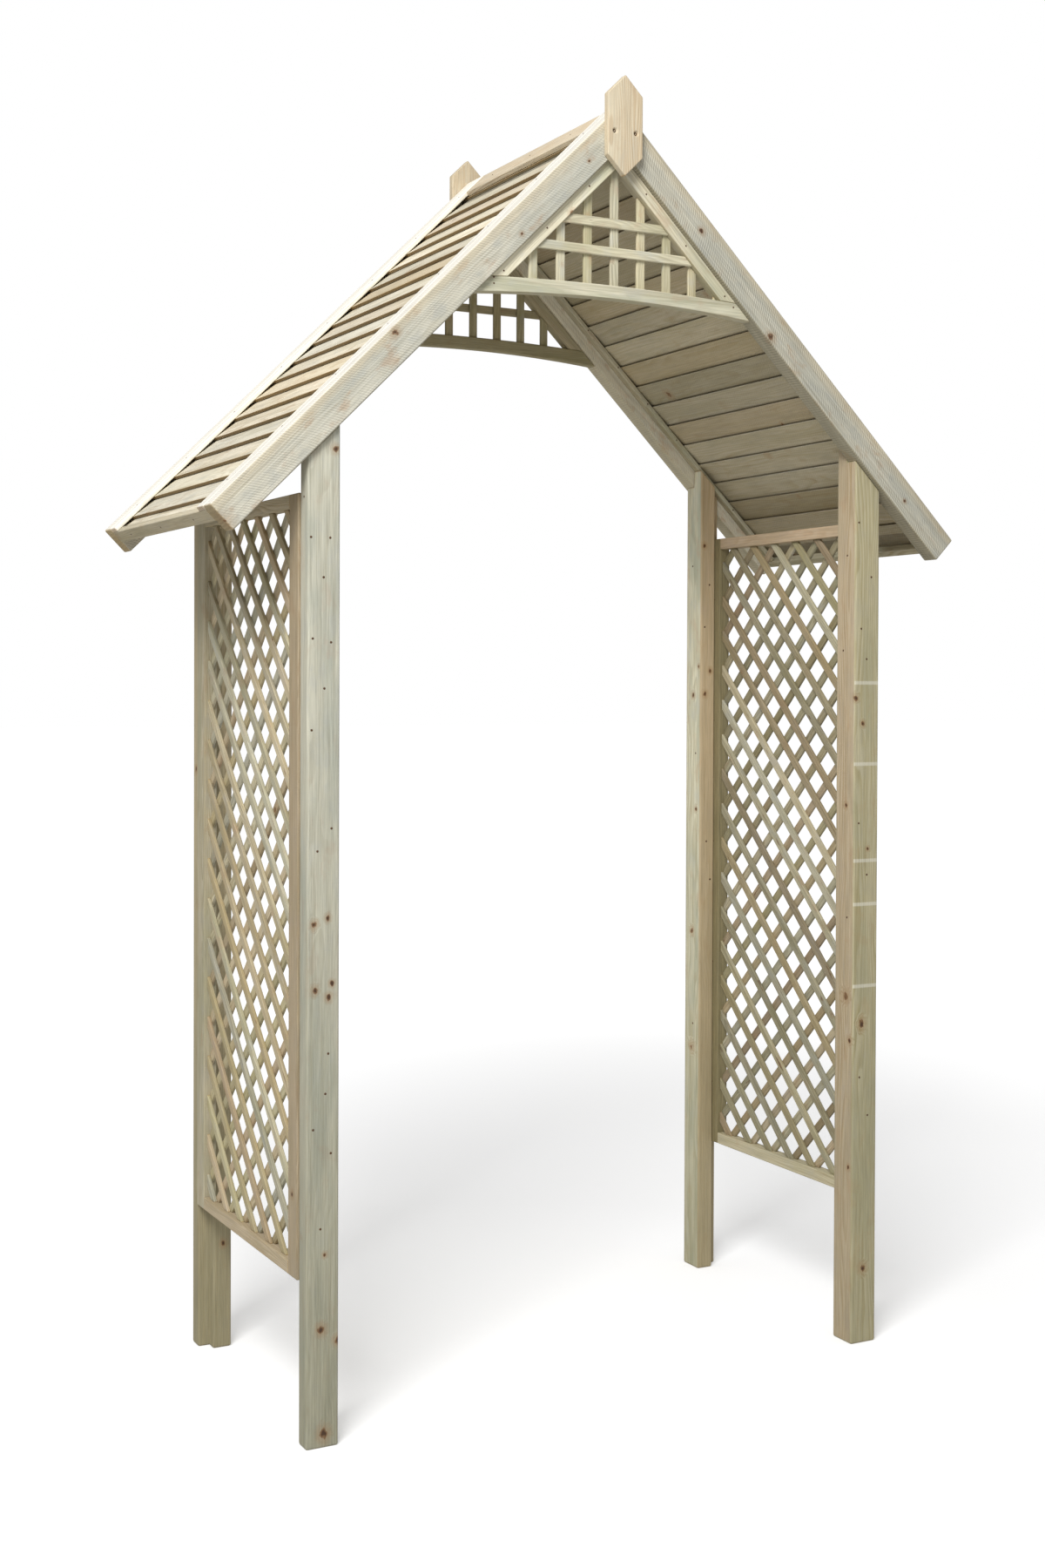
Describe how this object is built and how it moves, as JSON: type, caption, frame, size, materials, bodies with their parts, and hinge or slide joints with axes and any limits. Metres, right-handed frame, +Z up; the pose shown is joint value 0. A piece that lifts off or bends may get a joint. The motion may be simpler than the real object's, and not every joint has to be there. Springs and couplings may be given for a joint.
{
  "type": "garden arch",
  "caption": "Garden arch in pale treated pine: square posts, a steep lapped-board roof on two rafter pairs, latticed gables over arched collars and diamond lattice sides.",
  "frame": {"origin": "on the ground, at the middle of the four posts", "axes": "+X across the way through to the right seen from the front, +Y along the way through to the back, +Z up"},
  "size_m": [1.83, 0.782, 2.8281],
  "materials": {
    "post_timber": "planed and pressure treated, pale green-beige with brown knots",
    "rafter_timber": "planed and pressure treated, slightly greyed",
    "roof_board_timber": "sawn and pressure treated, pale cream",
    "lath_timber": "planed and pressure treated, pale green-brown",
    "finial_timber": "planed, warm pale pine",
    "frame_timber": "planed and pressure treated, pale green-beige"
  },
  "bodies": {
    "root": {"post_front_left": "post_timber", "post_front_right": "post_timber", "post_back_left": "post_timber", "post_back_right": "post_timber", "rafter_front_left": "rafter_timber", "rafter_front_right": "rafter_timber", "rafter_back_left": "rafter_timber", "rafter_back_right": "rafter_timber", "roof_batten_front_left": "frame_timber", "roof_batten_front_right": "frame_timber", "roof_batten_back_left": "frame_timber", "roof_batten_back_right": "frame_timber", "verge_strip_front_left": "roof_board_timber", "verge_strip_front_right": "roof_board_timber", "verge_strip_back_left": "roof_board_timber", "verge_strip_back_right": "roof_board_timber", "roof_boards_left": "roof_board_timber", "roof_boards_right": "roof_board_timber", "eave_board_left": "frame_timber", "eave_board_right": "frame_timber", "ridge_board_left": "roof_board_timber", "ridge_board_right": "roof_board_timber", "finial_front": "finial_timber", "finial_back": "finial_timber", "collar_front": "frame_timber", "collar_back": "frame_timber", "gable_strip_front_left": "frame_timber", "gable_strip_front_right": "frame_timber", "gable_strip_back_left": "frame_timber", "gable_strip_back_right": "frame_timber", "gable_lattice_front": "lath_timber", "gable_lattice_back": "lath_timber", "side_lattice_left": "lath_timber", "side_lattice_right": "lath_timber", "stile_front_left": "frame_timber", "stile_back_left": "frame_timber", "stile_front_right": "frame_timber", "stile_back_right": "frame_timber", "top_rail_left": "frame_timber", "top_rail_right": "frame_timber", "bottom_rail_left": "frame_timber", "bottom_rail_right": "frame_timber"}
  },
  "joints": []
}
